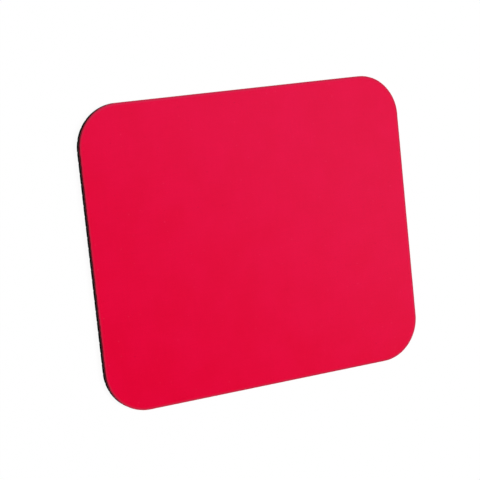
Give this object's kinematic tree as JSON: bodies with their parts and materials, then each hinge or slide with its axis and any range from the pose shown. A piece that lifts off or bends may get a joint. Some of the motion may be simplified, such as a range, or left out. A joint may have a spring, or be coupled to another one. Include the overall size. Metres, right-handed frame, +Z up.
{
  "type": "mouse pad",
  "caption": "Rectangular cloth-topped mouse pad with large rounded corners, a thick sponge-rubber base and a grooved non-slip underside.",
  "frame": {"origin": "centre of the outline, on the surface that the pad lies on", "axes": "+Z up through the pad, out of its cloth; +X along its longer side"},
  "size_m": [0.26, 0.22, 0.005],
  "materials": {
    "sponge_rubber": "matte",
    "adhesive": "satin",
    "red_cloth": "matte"
  },
  "bodies": {
    "root": {"foam_base": "sponge_rubber", "adhesive_film": "adhesive", "cloth_top": "red_cloth"}
  },
  "joints": []
}
